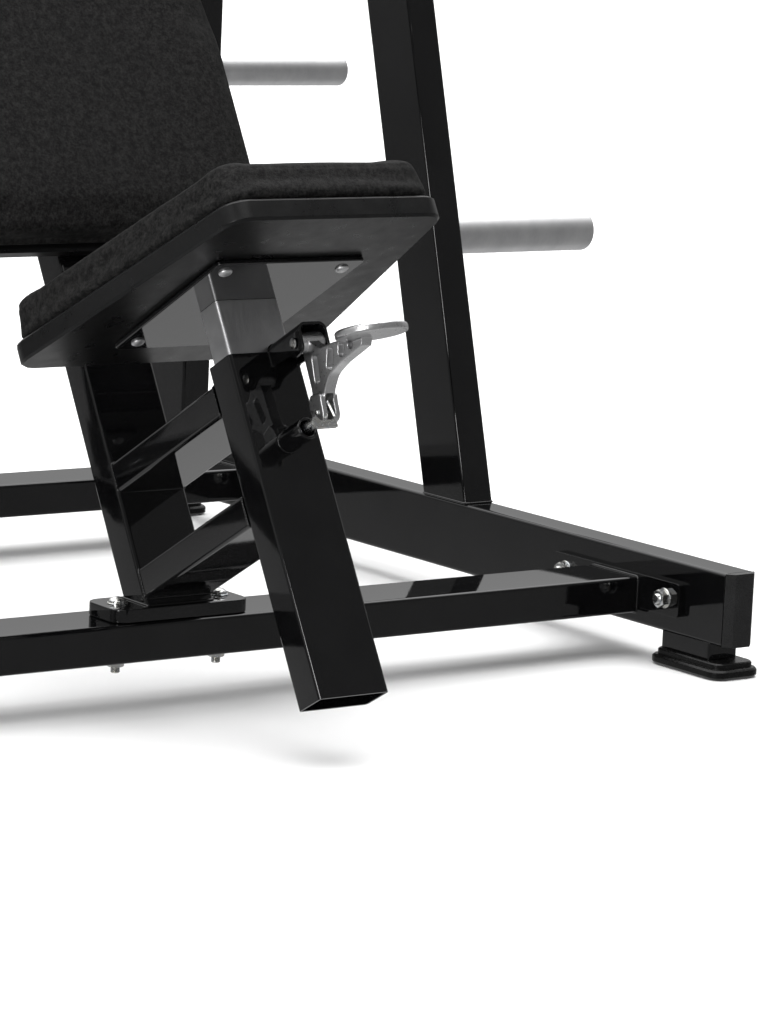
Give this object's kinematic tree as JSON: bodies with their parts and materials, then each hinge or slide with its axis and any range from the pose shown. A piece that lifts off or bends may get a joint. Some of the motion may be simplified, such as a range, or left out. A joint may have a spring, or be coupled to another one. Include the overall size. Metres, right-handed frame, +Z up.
{
  "type": "plate loaded seated press machine",
  "caption": "Plate-loaded gym machine: welded black box-tube frame, reclined back pad, height-adjustable seat with release lever, pivoting press arms and weight storage horns.",
  "frame": {"origin": "on the floor, under the middle of the machine's bounding box", "axes": "+Z up, the seated user faces -Y, +X is the user's left, the machine's middle plane is X = 0"},
  "size_m": [2.108, 1.6706, 1.6559],
  "materials": {
    "gloss_black_paint": "mirror gloss powder coat",
    "black_plastic": "satin moulded",
    "black_rubber": "matte",
    "satin_steel": "fine turned, satin",
    "bright_zinc": "zinc plated",
    "cast_aluminium": "cast, lightly blasted",
    "bronze": "sintered",
    "satin_black_board": "satin black paint on plywood",
    "black_upholstery": "fine grained synthetic leather"
  },
  "bodies": {
    "root": {"arm_bumper_left": "black_rubber", "arm_bumper_right": "black_rubber", "back_board": "satin_black_board", "back_cushion": "black_upholstery", "back_pad_mount": "gloss_black_paint", "foot_front_left": "black_rubber", "foot_front_right": "black_rubber", "foot_rear_left": "black_rubber", "foot_rear_right": "black_rubber", "front_cross_member": "gloss_black_paint", "front_upright_left": "gloss_black_paint", "front_upright_right": "gloss_black_paint", "lever_bracket": "gloss_black_paint", "lever_pin": "bright_zinc", "lower_strut": "gloss_black_paint", "pivot_bracket_left": "gloss_black_paint", "pivot_bracket_right": "gloss_black_paint", "pivot_shaft_left": "bright_zinc", "pivot_shaft_right": "bright_zinc", "plunger_housing": "gloss_black_paint", "rail_cap_front_left": "black_plastic", "rail_cap_front_right": "black_plastic", "rail_cap_rear_left": "black_plastic", "rail_cap_rear_right": "black_plastic", "rail_left": "gloss_black_paint", "rail_right": "gloss_black_paint", "rear_cross_member": "gloss_black_paint", "rear_upright_left": "gloss_black_paint", "rear_upright_right": "gloss_black_paint", "seat_sleeve": "gloss_black_paint", "side_beam_left": "gloss_black_paint", "side_beam_right": "gloss_black_paint", "spine": "gloss_black_paint", "spine_bolt_left": "bright_zinc", "spine_bolt_right": "bright_zinc", "storage_horn_front_left": "satin_steel", "storage_horn_front_right": "satin_steel", "storage_horn_rear_left": "satin_steel", "storage_horn_rear_right": "satin_steel", "top_cross_member": "gloss_black_paint", "upper_strut": "gloss_black_paint"},
    "seat_carriage": {"seat_post": "satin_steel", "seat_plate": "gloss_black_paint", "seat_board": "satin_black_board", "seat_cushion": "black_upholstery"},
    "release_lever": {"release_lever": "cast_aluminium", "clevis_pin": "bright_zinc"},
    "locking_plunger": {"locking_plunger": "bright_zinc"},
    "left_press_arm": {"press_arm_left": "gloss_black_paint", "arm_bearing_inner_left": "bronze", "arm_bearing_outer_left": "bronze", "work_horn_left": "satin_steel", "handle_left": "satin_steel", "hand_grip_left": "black_rubber"},
    "right_press_arm": {"press_arm_right": "gloss_black_paint", "arm_bearing_inner_right": "bronze", "arm_bearing_outer_right": "bronze", "work_horn_right": "satin_steel", "handle_right": "satin_steel", "hand_grip_right": "black_rubber"}
  },
  "joints": [
    {"name": "seat_slide", "type": "slide", "parent": "root", "child": "seat_carriage", "axis": [0, 0.5, 0.866], "range_m": [0, 0.15]},
    {"name": "release_lever_hinge", "type": "hinge", "parent": "root", "child": "release_lever", "pos_m": [0.027, -0.6672, 0.4818], "axis": [-1, 0, 0], "range_deg": [0, 18], "stiffness_Nm_per_rad": 2, "springref_deg": -14.32},
    {"name": "plunger_slide", "type": "slide", "parent": "root", "child": "locking_plunger", "axis": [0, -0.866, 0.5], "range_m": [0, 0.0277]},
    {"name": "left_arm_hinge", "type": "hinge", "parent": "root", "child": "left_press_arm", "pos_m": [-0.6, 0.362, 1.62], "axis": [-1, 0, 0], "range_deg": [0, 40]},
    {"name": "right_arm_hinge", "type": "hinge", "parent": "root", "child": "right_press_arm", "pos_m": [0.6, 0.362, 1.62], "axis": [-1, 0, 0], "range_deg": [0, 40]}
  ],
  "couplings": [
    {"joint": "plunger_slide", "follows": "release_lever_hinge", "m_per_rad": 0.088}
  ]
}
